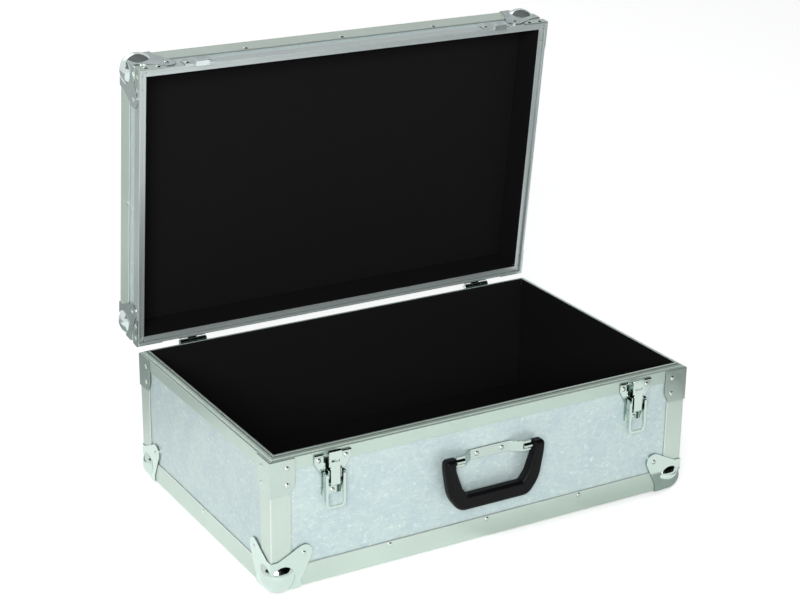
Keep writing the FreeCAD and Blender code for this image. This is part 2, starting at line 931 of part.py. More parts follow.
def base_nodes(hands):
    nodes = {}
    saws = at_base_corners(corner_saw(corner_chop))
    sheet_level = base_underside + profile_wall
    board_level = sheet_level + sheet_thickness
    floor_level = board_level + plywood_thickness
    slot_level = rim_level - rim_web
    for side, board in wall_boards(board_level, floor_level, slot_level).items():
        name = "bottom" if side == "flat" else side
        nodes["base_%s_panel" % name] = board.cut(saws)
    sheets = wall_sheets(sheet_level, board_level, slot_level)
    nodes["base_panel_skins"] = Part.makeCompound([sheet.cut(saws) for sheet in sheets])
    for side in side_names:
        nodes["base_bottom_edge_%s" % side] = edge_profile(side, base_underside, 1).cut(saws)
        nodes["base_rim_%s" % side] = base_rim(side)
    posts = corner_posts(base_underside + edge_leg, rim_level - rim_leg)
    nodes["base_corner_posts"] = Part.makeCompound(posts)
    nodes["base_ball_corners"] = Part.makeCompound(at_base_corners(ball_corner(base_height)))
    nodes["base_corner_braces"] = Part.makeCompound(four_corners(base_brace()))
    nodes["handle_bracket"] = at_front(handle_bracket())
    fasteners = edge_fasteners(base_underside, 1)
    for item in ear_fasteners():
        fasteners += at_base_corners(item)
    for item in base_brace_fasteners():
        fasteners += four_corners(item)
    fasteners += [at_front(item) for item in bracket_fasteners()]
    for name, hand in hands.items():
        nodes["latch_plate_%s" % name] = at_latch(latch_base_plate(), hand)
        nodes["hinge_base_leaf_%s" % name] = at_hinge(hinge_base_leaf(), hand)
        fasteners += [at_latch(item, hand) for item in latch_fasteners()]
        fasteners += [at_hinge(item, hand) for item in hinge_fasteners(-1, 0)]
    nodes = {name: drilled(shape, fasteners) for name, shape in nodes.items()}
    nodes["base_rivets"] = Part.makeCompound([item.Solids[0] for item in fasteners])
    lip_level = rim_level + rim_lip_height - rim_lining_reveal
    nodes["base_wall_lining"] = wall_linings(floor_level, rim_level - rim_inner_leg, lip_level)
    nodes["base_floor_lining"] = flat_lining(floor_level, floor_level + lining_thickness)
    nodes["handle_pivot_pins"] = Part.makeCompound(pair(at_front(handle_pivot_pin())))
    pins = [at_latch(latch_pivot_pin(), hand) for hand in hands.values()]
    nodes["latch_pivot_pins"] = Part.makeCompound(pins)
    half = hinge_width / 2
    pin = cross_pin(hinge_pin_radius, half, hinge_axis_back, hinge_axis_rise)
    nodes["hinge_pins"] = Part.makeCompound([at_hinge(pin, hand) for hand in hands.values()])
    return nodes


def lid_nodes(hands):
    nodes = {}
    saws = at_lid_corners(corner_saw(corner_chop))
    sheet_level = lid_top - profile_wall
    board_level = sheet_level - sheet_thickness
    ceiling = board_level - plywood_thickness
    slot_level = lid_rim_seat()
    for side, board in wall_boards(board_level, ceiling, slot_level).items():
        name = "top" if side == "flat" else side
        nodes["lid_%s_panel" % name] = board.cut(saws)
    sheets = wall_sheets(sheet_level, board_level, slot_level)
    nodes["lid_panel_skins"] = Part.makeCompound([sheet.cut(saws) for sheet in sheets])
    for side in side_names:
        nodes["lid_top_edge_%s" % side] = edge_profile(side, lid_top, -1).cut(saws)
        nodes["lid_rim_%s" % side] = lid_rim(side)
    posts = corner_posts(lid_level + rim_leg, lid_top - edge_leg)
    nodes["lid_corner_posts"] = Part.makeCompound(posts)
    ball = ball_corner(lid_height - rim_leg)
    nodes["lid_ball_corners"] = Part.makeCompound(at_lid_corners(ball))
    nodes["lid_corner_braces"] = Part.makeCompound(four_corners(lid_brace()))
    fasteners = edge_fasteners(lid_top, -1)
    for item in ear_fasteners():
        fasteners += at_lid_corners(item)
    for item in lid_brace_fasteners():
        fasteners += four_corners(item)
    for name, hand in hands.items():
        nodes["latch_catch_%s" % name] = at_latch(latch_catch(), hand)
        nodes["hinge_lid_leaf_%s" % name] = at_hinge(hinge_lid_leaf(), hand)
        fasteners += [at_latch(item, hand) for item in catch_fasteners()]
        fasteners += [at_hinge(item, hand) for item in hinge_fasteners(1, lid_gap)]
    nodes = {name: drilled(shape, fasteners) for name, shape in nodes.items()}
    nodes["lid_rivets"] = Part.makeCompound([item.Solids[0] for item in fasteners])
    lip_level = slot_level - rim_web + rim_lining_reveal
    nodes["lid_wall_lining"] = wall_linings(ceiling, slot_level + rim_inner_leg, lip_level)
    nodes["lid_top_lining"] = flat_lining(ceiling - lining_thickness, ceiling)
    return nodes


def moving_nodes(hands):
    nodes = {"handle_grip": at_front(handle_grip())}
    for name, hand in hands.items():
        nodes["latch_lever_%s" % name] = at_latch(latch_lever(), hand)
        nodes["latch_hook_pin_%s" % name] = at_latch(latch_hook_pin(), hand)
        nodes["latch_hook_%s" % name] = at_latch(latch_hook(), hand)
    return nodes


def opened(shape):
    copy = shape.copy()
    copy.rotate(FreeCAD.Vector(0, hinge_y, hinge_z), -x_axis, lid_open_angle)
    return copy


def build():
    # All nodes at rest, with the lid open and the whole box centred over the origin
    hands = {"left": -1, "right": 1}
    nodes = base_nodes(hands)
    nodes.update(moving_nodes(hands))
    for name, shape in lid_nodes(hands).items():
        nodes[name] = opened(shape)
    whole = Part.makeCompound(list(nodes.values())).optimalBoundingBox(False, False)
    shift = -(whole.YMin + whole.YMax) / 2
    return {name: moved(shape, 0, shift, 0) for name, shape in nodes.items()}, shift


def main():
    os.makedirs("parts", exist_ok=True)
    nodes, shift = build()
    for name, shape in nodes.items():
        shape.exportStep("parts/%s.step" % name)
    print("wrote", len(nodes), "nodes, shifted by", round(shift, 3))


main()
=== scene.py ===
import json
import math

import bmesh
import bpy
from mathutils import Matrix, Vector, noise


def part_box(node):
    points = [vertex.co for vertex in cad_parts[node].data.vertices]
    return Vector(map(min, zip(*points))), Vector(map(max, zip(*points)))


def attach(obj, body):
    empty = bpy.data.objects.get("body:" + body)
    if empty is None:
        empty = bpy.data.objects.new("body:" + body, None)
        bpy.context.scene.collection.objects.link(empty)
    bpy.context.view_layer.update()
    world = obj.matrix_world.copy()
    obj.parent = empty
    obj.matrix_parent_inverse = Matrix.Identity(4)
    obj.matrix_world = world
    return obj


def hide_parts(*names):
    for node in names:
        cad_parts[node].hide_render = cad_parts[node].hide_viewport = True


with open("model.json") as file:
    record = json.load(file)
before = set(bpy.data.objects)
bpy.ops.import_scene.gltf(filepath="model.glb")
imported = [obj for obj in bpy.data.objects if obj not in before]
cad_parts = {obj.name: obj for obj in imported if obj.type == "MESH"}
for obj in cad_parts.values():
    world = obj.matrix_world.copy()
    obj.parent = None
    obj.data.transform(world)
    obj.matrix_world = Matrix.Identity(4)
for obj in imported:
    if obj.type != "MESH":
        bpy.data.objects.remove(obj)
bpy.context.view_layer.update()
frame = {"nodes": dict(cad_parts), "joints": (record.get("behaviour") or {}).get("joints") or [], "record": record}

nodes = frame["nodes"]
mm = 0.001


def hexColour(text):
    # sRGB hex to the linear values that shader sockets take
    parts = [int(text[i:i + 2], 16) / 255 for i in (1, 3, 5)]
    return tuple(c / 12.92 if c <= 0.04045 else ((c + 0.055) / 1.055) ** 2.4 for c in parts) + (1.0,)


def addNode(tree, kind, settings=None, links=None):
    # settings are node attributes or socket values, links are socket: (node, output)
    node = tree.nodes.new(kind)
    for key, value in (settings or {}).items():
        if isinstance(key, str) and hasattr(node, key):
            setattr(node, key, value)
        else:
            node.inputs[key].default_value = value
    for key, (source, output) in (links or {}).items():
        tree.links.new(source.outputs[output], node.inputs[key])
    return node


def newMaterial(name, settings):
    # a bare Principled material with object coordinates, so patterns are in real metres
    material = bpy.data.materials.new(name)
    material.use_nodes = True
    tree = material.node_tree
    tree.nodes.clear()
    shader = addNode(tree, "ShaderNodeBsdfPrincipled", settings)
    addNode(tree, "ShaderNodeOutputMaterial", None, {"Surface": (shader, "BSDF")})
    coords = addNode(tree, "ShaderNodeTexCoord")
    return material, tree, shader, coords


def paint(material, *names):
    for name in names:
        slots = nodes[name].data.materials
        slots.clear()
        slots.append(material)


def perMetre(size):
    return 1 / (size * mm)   # texture scale that gives features of that many millimetres


def between(span):
    return {"From Min": span[0], "From Max": span[1]}   # what a map range node takes to 0 and 1


# settings for the rounded-edge normal, the painted edge highlight and the painted seam shade
edgeHighlightAndSeamShade = {
    "bevelSamples": 4, "seamSamples": 6,
    "paintedHighlight": (0.998, 0.90),   # cosine between the rounded and the flat normal, from no painted highlight to full
    "unshaded": (0.40, 0.85),     # open share of the space around a point, from full painted shade to none
}
usualNoise = (0.3, 0.7)        # where most values of a noise texture lie


def edgeNormalAndHighlight(tree, radius):
    # rounded normal, and a mask that is 1 along edges, for a painted highlight along them
    edge = addNode(tree, "ShaderNodeBevel", {"samples": edgeHighlightAndSeamShade["bevelSamples"], "Radius": radius * mm})
    flat = addNode(tree, "ShaderNodeNewGeometry")
    turn = addNode(tree, "ShaderNodeVectorMath", {"operation": "DOT_PRODUCT"},
                   {0: (edge, "Normal"), 1: (flat, "True Normal")})
    mask = addNode(tree, "ShaderNodeMapRange", between(edgeHighlightAndSeamShade["paintedHighlight"]), {"Value": (turn, "Value")})
    return edge, mask


def paintedSeamShade(tree, reach, darkest, colour, source=None):
    # colour, or what source gives, darkened by painted shade in seams and at the foot of raised pieces
    hollow = addNode(tree, "ShaderNodeAmbientOcclusion", {
        "samples": edgeHighlightAndSeamShade["seamSamples"], "Distance": reach * mm})
    unshaded = addNode(tree, "ShaderNodeMapRange", dict(between(edgeHighlightAndSeamShade["unshaded"]), **{"To Min": darkest}),
                    {"Value": (hollow, "AO")})
    links = {7: (unshaded, 0)}
    if source:
        links[6] = (source, 2)
    mixed = addNode(tree, "ShaderNodeMix", {
        "data_type": "RGBA", "blend_type": "MULTIPLY", "Factor": 1.0, 6: hexColour(colour)}, links)
    return mixed


# camera, from the edges of the case in the photograph
cameraView = {
    "azimuth": -30.42,       # degrees, looking from the front left
    "elevation": 20.74,
    "roll": 0.75,
    "place": (-1090.5, -1650.7, 882.8),   # mm from mid width, front profile face and rim plane
    "lens": 85.4,            # mm
    "rimLip": 3.8,           # mm, the rim's raised lip above the rim plane
    "clip": (0.05, 50),      # m
}


def makeCamera(view):
    low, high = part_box("base_rim_front")
    start = Vector((0, low.y, high.z - view["rimLip"] * mm))
    azimuth, elevation, roll = (math.radians(view[key]) for key in ("azimuth", "elevation", "roll"))
    back = Vector((math.sin(azimuth) * math.cos(elevation),
                   -math.cos(azimuth) * math.cos(elevation), math.sin(elevation)))
    right = Vector((0, 0, 1)).cross(back).normalized()
    up = back.cross(right)
    rolledRight = right * math.cos(roll) + up * math.sin(roll)
    rolledUp = up * math.cos(roll) - right * math.sin(roll)
    turn = Matrix((rolledRight, rolledUp, back)).transposed().to_4x4()
    camera = bpy.data.objects.new("camera", bpy.data.cameras.new("camera"))
    bpy.context.scene.collection.objects.link(camera)
    camera.matrix_world = Matrix.Translation(start + Vector(view["place"]) * mm) @ turn
    camera.data.lens = view["lens"]
    camera.data.clip_start, camera.data.clip_end = view["clip"]
    bpy.context.scene.camera = camera


makeCamera(cameraView)
print("camera placed")


def levelCard(left, right, near, far, height=0.004, slant=0.0):
    # corners in m, the left end cut at a slant
    return [(left, near, height), (left + slant, far, height), (right, far, height), (right, near, height)]


# studio: white surround, a soft key and a fill, and flags and cards that only reflections see
studio = {
    "floorSize": 16.0,       # m
    "floorColour": "#F8F9F9",
    "floorGlow": 0.47,       # lifts the paper to white in the picture and keeps the shadow
    "worldLight": 0.36,
    "lamps": [               # name, place and size in m, power in W
        ("keyLight", (-2.2, -3.25, 1.9), 1.5, 118),   # near the camera, so shadows hide behind pieces
        ("fillLight", (-0.8, 3.8, 2.9), 2.2, 42),     # for the back and the tops
    ],
    "lampAim": (0, 0, 0.2),
    "flags": [               # shade, and corners in m: black above and around, pale at the back
        ("#0B0C0D", levelCard(-6, 6, -6.5, 2.8, 3.3)),
        ("#0B0C0D", [(-6, -6.5, 1.5), (-6, -6.5, 3.3), (6, -6.5, 3.3), (6, -6.5, 1.5)]),
        ("#0B0C0D", [(-6, -6.5, 1.5), (-6, 2.0, 1.5), (-6, 2.0, 3.3), (-6, -6.5, 3.3)]),
        ("#0B0C0D", [(6, -6.5, 1.5), (6, -0.5, 1.5), (6, -0.5, 3.3), (6, -6.5, 3.3)]),
        ("#E0E4E8", [(-3, 5, 2.3), (-3, 5, 3.3), (8, 5, 3.3), (8, 5, 2.3)]),
        ("#C0C5C5", levelCard(-2.2, -0.55, 0.62, 3.0)),      # on the floor, for the lid's left side
        ("#7A7F80", levelCard(0.45, 1.7, -1.3, -0.33)),      # for the front's right end
        ("#F4F7F6", levelCard(-0.03, 0.17, -0.245, -0.185, slant=0.05)),   # two that darken the front
        ("#D6DBD9", levelCard(0.12, 0.45, -0.245, -0.185, 0.005, 0.05)),   # edge towards the right
        ("#979E9E", levelCard(-0.62, -0.36, 0.24, 0.85)),    # for the left rim
    ],
}


def stageSheet(name, corners, material):
    mesh = bpy.data.meshes.new(name)
    mesh.from_pydata(corners, [], [(0, 1, 2, 3)])
    mesh.materials.append(material)
    sheet = bpy.data.objects.new(name, mesh)
    bpy.context.scene.collection.objects.link(sheet)
    return sheet


def seenRays(tree):
    # 1 for rays that show the surround: straight to the camera, or by way of metal or glass
    path = addNode(tree, "ShaderNodeLightPath")
    seen = addNode(tree, "ShaderNodeMath", {"operation": "MAXIMUM"},
                   {0: (path, "Is Camera Ray"), 1: (path, "Is Glossy Ray")})
    return addNode(tree, "ShaderNodeMath", {"operation": "MAXIMUM"},
                   {0: (seen, 0), 1: (path, "Is Transmission Ray")})


def makeStudio(setup):
    world = bpy.data.worlds.new("studio")
    bpy.context.scene.world = world
    world.use_nodes = True
    tree = world.node_tree
    tree.nodes.clear()
    strength = addNode(tree, "ShaderNodeMapRange", {"To Min": setup["worldLight"], "To Max": 1.0},
                       {"Value": (seenRays(tree), 0)})
    light = addNode(tree, "ShaderNodeBackground", {"Color": (1, 1, 1, 1)}, {"Strength": (strength, 0)})
    addNode(tree, "ShaderNodeOutputWorld", None, {"Surface": (light, 0)})

    # matt white paper: an even ground without sheen
    paper, tree, shader = newMaterial("matt white paper", {
        "Base Color": hexColour(setup["floorColour"]), "Roughness": 0.9, "Specular IOR Level": 0.1,
        "Emission Color": (1, 1, 1, 1)})[:3]
    glow = addNode(tree, "ShaderNodeMath", {"operation": "MULTIPLY", 1: setup["floorGlow"]},
                   {0: (seenRays(tree), 0)})
    tree.links.new(glow.outputs[0], shader.inputs["Emission Strength"])
    size = setup["floorSize"] / 2
    stageSheet("floor", [(-size, -size, 0), (size, -size, 0), (size, size, 0), (-size, size, 0)], paper)

    # flag cloth: the darks and greys that polished metal mirrors
    for index, (tint, corners) in enumerate(setup["flags"]):
        cloth = newMaterial("flag cloth %d" % index, {
            "Base Color": hexColour(tint), "Roughness": 1.0, "Specular IOR Level": 0.0})[0]
        flag = stageSheet("flag%d" % index, corners, cloth)
        flag.visible_camera = False
        flag.visible_diffuse = False
        flag.visible_shadow = False

    for name, place, size, power in setup["lamps"]:
        lamp = bpy.data.objects.new(name, bpy.data.lights.new(name, "AREA"))
        lamp.data.size = size
        lamp.data.energy = power
        bpy.context.scene.collection.objects.link(lamp)
        lamp.location = place
        aim = Vector(setup["lampAim"]) - lamp.location
        lamp.rotation_euler = aim.to_track_quat("-Z", "Y").to_euler()


makeStudio(studio)
bpy.context.scene.view_settings.view_transform = "Standard"
print("studio ready")


# stucco embossed aluminium sheet: rolled with shallow irregular dents, and painted glints in small flecks
embossedLook = {
    # bright: the colour of the painted glints on the flecks
    "colour": "#CDDFDB", "shade": "#BDCFD3", "bright": "#E6F2F0", "metallic": 0.15,
    "roughness": 0.40, "roughSwing": (-0.08, 0.1),
    "cloud": 32, "cloudShare": 0.6,   # mm, and weight beside the flecks
    "fleck": 5.5, "stretch": 1.5,     # mm, flecks lie along the rolling direction
    "tone": (0.60, 1.0),     # cloud and flecks together, from shade to colour
    "paintedGlint": (0.61, 0.80),    # flecks alone, from colour to the painted glint colour
    "depth": 0.22, "relief": 0.6,     # mm, the finest dents, too small for the mesh
    "seam": 2.5, "seamShade": 0.65,   # mm from a seam that gets painted shade, and what is left of the colour
}


def roughEnds(look):
    # roughness at the two ends of a pattern
    low, high = look["roughSwing"]
    return {"To Min": look["roughness"] + low, "To Max": look["roughness"] + high}


def makeEmbossed(look):
    material, tree, shader, coords = newMaterial("embossed aluminium sheet", {"Metallic": look["metallic"]})
    rolled = addNode(tree, "ShaderNodeMapping", {"Scale": (1, 1, look["stretch"])},
                     {"Vector": (coords, "Object")})
    cloud = addNode(tree, "ShaderNodeTexNoise", {"Scale": perMetre(look["cloud"]), "Detail": 3.0},
                    {"Vector": (coords, "Object")})
    flecks = addNode(tree, "ShaderNodeTexNoise",
                     {"Scale": perMetre(look["fleck"]), "Detail": 2.0, "Roughness": 0.6, "Distortion": 0.8},
                     {"Vector": (rolled, 0)})
    bump = addNode(tree, "ShaderNodeBump", {"Strength": look["relief"], "Distance": look["depth"] * mm},
                   {"Height": (flecks, "Fac")})
    mixed = addNode(tree, "ShaderNodeMath", {"operation": "MULTIPLY_ADD", 1: look["cloudShare"]},
                    {0: (cloud, "Fac"), 2: (flecks, "Fac")})
    tone = addNode(tree, "ShaderNodeMapRange", between(look["tone"]), {"Value": (mixed, 0)})
    colour = addNode(tree, "ShaderNodeMix", {
        "data_type": "RGBA", 6: hexColour(look["shade"]), 7: hexColour(look["colour"])},
        {"Factor": (tone, 0)})
    # painted glints: the highest flecks mixed towards bright, for sparkles off the dents
    paintedGlint = addNode(tree, "ShaderNodeMapRange", between(look["paintedGlint"]), {"Value": (flecks, "Fac")})
    paintedHighlight = addNode(tree, "ShaderNodeMix", {"data_type": "RGBA", 7: hexColour(look["bright"])},
                     {"Factor": (paintedGlint, 0), 6: (colour, 2)})
    rough = addNode(tree, "ShaderNodeMapRange", dict(between(usualNoise), **roughEnds(look)),
                    {"Value": (flecks, "Fac")})
    # painted shade in seams and at the foot of raised pieces
    seams = paintedSeamShade(tree, look["seam"], look["seamShade"], look["colour"], paintedHighlight)
    tree.links.new(seams.outputs[2], shader.inputs["Base Color"])
    tree.links.new(rough.outputs[0], shader.inputs["Roughness"])
    tree.links.new(bump.outputs[0], shader.inputs["Normal"])
    return material


# satin anodised aluminium extrusion: soft sheen, faint draw lines, a slightly green cast, painted highlights along
# the edges
extrudedLook = {
    # bright: the colour of the painted edge highlight
    "colour": "#C9D9CF", "bright": "#FAFFFC", "metallic": 0.5,
    "roughness": 0.36, "roughSwing": (-0.06, 0.08),
    "cloud": 60, "dull": 0.94,        # mm, and the colour's share in the dullest clouds
    "line": 0.8, "lineDepth": 0.05, "relief": 0.12,   # mm, the draw lines
    "rounding": 2.2,         # mm, for the rounded normal and the width of the painted edge highlight
    # mm from a seam that gets painted shade, and what is left of the colour
    "seam": 2.5, "seamShade": 0.38,
}


def makeExtruded(name, look):
    material, tree, shader, coords = newMaterial(name, {"Metallic": look["metallic"]})
    cloud = addNode(tree, "ShaderNodeTexNoise", {"Scale": perMetre(look["cloud"]), "Detail": 3.0},
                    {"Vector": (coords, "Object")})
    lines = addNode(tree, "ShaderNodeTexNoise", {"Scale": perMetre(look["line"]), "Detail": 1.0},
                    {"Vector": (coords, "Object")})
    tone = addNode(tree, "ShaderNodeMapRange", dict(between(usualNoise), **{"To Min": look["dull"]}),
                   {"Value": (cloud, "Fac")})
    colour = addNode(tree, "ShaderNodeMix", {
        "data_type": "RGBA", "blend_type": "MULTIPLY", "Factor": 1.0, 6: hexColour(look["colour"])},
        {7: (tone, 0)})
    # painted highlight along the rounded edges
    edge, mask = edgeNormalAndHighlight(tree, look["rounding"])
    edgeHighlit = addNode(tree, "ShaderNodeMix", {"data_type": "RGBA", 7: hexColour(look["bright"])},
                   {"Factor": (mask, 0), 6: (colour, 2)})
    rough = addNode(tree, "ShaderNodeMapRange", roughEnds(look), {"Value": (lines, "Fac")})
    bump = addNode(tree, "ShaderNodeBump", {"Strength": look["relief"], "Distance": look["lineDepth"] * mm},
                   {"Height": (lines, "Fac"), "Normal": (edge, 0)})
    # painted shade in seams and at the foot of raised pieces
    seams = paintedSeamShade(tree, look["seam"], look["seamShade"], look["colour"], edgeHighlit)
    tree.links.new(seams.outputs[2], shader.inputs["Base Color"])
    tree.links.new(rough.outputs[0], shader.inputs["Roughness"])
    tree.links.new(bump.outputs[0], shader.inputs["Normal"])
    return material


# bright plated steel: mirror finish with faint handling haze
platedLook = {
    "colour": "#C7D7D0", "metallic": 1.0, "roughness": 0.07, "roughSwing": (0.0, 0.10),
    "haze": 9.0, "hazeSpan": (0.35, 0.75),   # mm, and the noise that goes from clear to hazy
    "rounding": 0.3,         # mm
    # mm from a seam that gets painted shade, and what is left of the colour
    "seam": 6.0, "seamShade": 0.25,
}


def makePlated(name, look):
    material, tree, shader, coords = newMaterial(name, {"Metallic": look["metallic"]})
    # painted shade in seams and at the foot of raised pieces
    seams = paintedSeamShade(tree, look["seam"], look["seamShade"], look["colour"])
    tree.links.new(seams.outputs[2], shader.inputs["Base Color"])
    haze = addNode(tree, "ShaderNodeTexNoise", {"Scale": perMetre(look["haze"]), "Detail": 5.0},
                   {"Vector": (coords, "Object")})
    rough = addNode(tree, "ShaderNodeMapRange", dict(between(look["hazeSpan"]), **roughEnds(look)),
                    {"Value": (haze, "Fac")})
    edge = addNode(tree, "ShaderNodeBevel", {
        "samples": edgeHighlightAndSeamShade["bevelSamples"], "Radius": look["rounding"] * mm})
    tree.links.new(rough.outputs[0], shader.inputs["Roughness"])
    tree.links.new(edge.outputs[0], shader.inputs["Normal"])
    return material


# moulded ABS grip: black, fine spark-eroded texture, a little shine on the curves
mouldedLook = {
    "colour": "#08080A", "index": 1.53, "sheen": 0.12, "roughness": 0.42, "roughSwing": (-0.08, 0.12),
    "grain": 0.7, "depth": 0.08, "relief": 0.25,   # mm
}


def makeMoulded(look):
    material, tree, shader, coords = newMaterial("moulded black ABS", {
        "Base Color": hexColour(look["colour"]), "IOR": look["index"], "Specular IOR Level": look["sheen"]})
    grain = addNode(tree, "ShaderNodeTexNoise", {"Scale": perMetre(look["grain"]), "Detail": 2.0},
                    {"Vector": (coords, "Object")})
    rough = addNode(tree, "ShaderNodeMapRange", roughEnds(look), {"Value": (grain, "Fac")})
    bump = addNode(tree, "ShaderNodeBump", {"Strength": look["relief"], "Distance": look["depth"] * mm},
                   {"Height": (grain, "Fac")})
    tree.links.new(rough.outputs[0], shader.inputs["Roughness"])
    tree.links.new(bump.outputs[0], shader.inputs["Normal"])
    return material


# black needle felt: matt, fuzzy, with a few pale lint specks
feltLook = {
    "colour": "#181819", "lint": "#4A4A4E", "sheen": 0.05,
    "fibre": 0.9, "patch": 45,        # mm
    "lintSpan": (0.62, 0.8),          # fibre noise that shows as lint
    "depth": 0.3, "relief": 0.5,      # mm
}


def makeFelt(look):
    material, tree, shader, coords = newMaterial("black needle felt", {
        "Roughness": 1.0, "Specular IOR Level": look["sheen"]})
    fibre = addNode(tree, "ShaderNodeTexNoise",
                    {"Scale": perMetre(look["fibre"]), "Detail": 4.0, "Roughness": 0.7},
                    {"Vector": (coords, "Object")})
    patch = addNode(tree, "ShaderNodeTexNoise", {"Scale": perMetre(look["patch"]), "Detail": 2.0},
                    {"Vector": (coords, "Object")})
    tone = addNode(tree, "ShaderNodeMapRange", between(look["lintSpan"]), {"Value": (fibre, "Fac")})
    mixed = addNode(tree, "ShaderNodeMath", {"operation": "MULTIPLY"}, {0: (tone, 0), 1: (patch, "Fac")})
    colour = addNode(tree, "ShaderNodeMix", {
        "data_type": "RGBA", 6: hexColour(look["colour"]), 7: hexColour(look["lint"])},
        {"Factor": (mixed, 0)})
    bump = addNode(tree, "ShaderNodeBump", {"Strength": look["relief"], "Distance": look["depth"] * mm},
                   {"Height": (fibre, "Fac")})
    tree.links.new(colour.outputs[2], shader.inputs["Base Color"])
    tree.links.new(bump.outputs[0], shader.inputs["Normal"])
    return material


# birch plywood, only seen where a board's edge is bare
plywoodLook = {"pale": "#C9A877", "dark": "#A9804E", "grain": 26}


def makePlywood(look):
    material, tree, shader, coords = newMaterial("birch plywood", {"Roughness": 0.7})
    grain = addNode(tree, "ShaderNodeTexWave", {"Scale": perMetre(look["grain"]), "Distortion": 3.0},
                    {"Vector": (coords, "Object")})
    colour = addNode(tree, "ShaderNodeMix", {
        "data_type": "RGBA", 6: hexColour(look["pale"]), 7: hexColour(look["dark"])},
        {"Factor": (grain, "Fac")})
    tree.links.new(colour.outputs[2], shader.inputs["Base Color"])
    return material


embossed = makeEmbossed(embossedLook)
extruded = makeExtruded("satin anodised extrusion", extrudedLook)
# rim extrusion: the edge aluminium with a little painted shade in its colour, and sharper at the edges, so that
# its grooves show as lines
rimShadedCopy = makeExtruded("rim extrusion", dict(extrudedLook, colour="#C2D5CB", rounding=0.5))
# bright rim extrusion: the lid's, shinier, and painted greyer as shade, seen from its grooved side
lidRimShadedCopy = makeExtruded("bright rim extrusion", dict(
    extrudedLook, colour="#C5CFCE", metallic=0.6, roughness=0.33, rounding=0.5))
chrome = makePlated("chromed steel", platedLook)
# chromed steel of the lid's corners and catches: the mirror finish with painted light, paler, a little softer and
# less metallic, so its dark reflections turn grey
lidChromeLitCopy = makePlated("satin chromed steel", dict(
    platedLook, colour="#D2DEDC", metallic=0.78, roughness=0.10))
# nickel plated strip: a darker mirror than chrome
nickel = makePlated("nickel plated strip", dict(platedLook, colour="#BCCBC4", roughness=0.10))
# plated rivet steel: small soft glints
rivetSteel = makePlated("plated rivet steel", dict(platedLook, colour="#CFD8D4", roughness=0.22))
# zinc plated brace steel: dull, with a broad sheen
zincPlated = makePlated("zinc plated brace steel", dict(platedLook, colour="#BFCFC7", roughness=0.30))
moulded = makeMoulded(mouldedLook)
felt = makeFelt(feltLook)
plywood = makePlywood(plywoodLook)

slotPaint = {
    "embossed_aluminium": embossed, "edge_aluminium": extruded, "plywood": plywood, "chrome_steel": chrome,
    "nickel_steel": nickel, "rivet_steel": rivetSteel, "black_plastic": moulded, "black_felt": felt,
}
for subpart in frame["record"]["subparts"]:
    paint(slotPaint[subpart["material_slot"]], subpart["node"])
for name in nodes:
    # the rims get copies of the edge aluminium with painted shade
    if "_rim_" in name:
        paint(lidRimShadedCopy if name.startswith("lid") else rimShadedCopy, name)
    if name.endswith("_braces"):
        paint(zincPlated, name)
    # the lid's ball corners and catches get the paler chrome copy with painted light
    if name.startswith("lid_ball") or name.startswith("latch_catch"):
        paint(lidChromeLitCopy, name)
print("materials on", len(nodes), "nodes")


# lining: felt sheets glued to the boards and up over the inner leg of the rim
liningCut = {
    "cell": 12.0,            # mm between the points of a sheet
    "wave": 0.2,             # mm of unevenness
    "waves": 28,             # per metre
    "edge": 0.35,            # mm by which the cut edge is rounded off
    "leg": 1.0,              # mm, the thickness of the rim's inner leg
}


def lidTurn():
    # takes the lid from closed to its open rest place
    joint = [item for item in frame["joints"] if item["name"] == "lid_hinge"][0]
    place = Matrix.Translation(Vector(joint["pos_m"]))
    turn = Matrix.Rotation(math.radians(-joint["range_deg"][0]), 4, Vector(joint["axis"]))
    return place @ turn @ place.inverted()


def pointsBefore(name, turn):
    # corners of a node in the frame that turn takes to the rest place
    back = turn.inverted()
    return [back @ vertex.co for vertex in nodes[name].data.vertices]


def boxOf(points):
    low = Vector([min(point[i] for point in points) for i in range(3)])
    high = Vector([max(point[i] for point in points) for i in range(3)])
    return low, high


def evenSteps(start, end, cell):
    count = max(2, round((end - start) / cell))
    return [start + (end - start) * i / count for i in range(count + 1)]


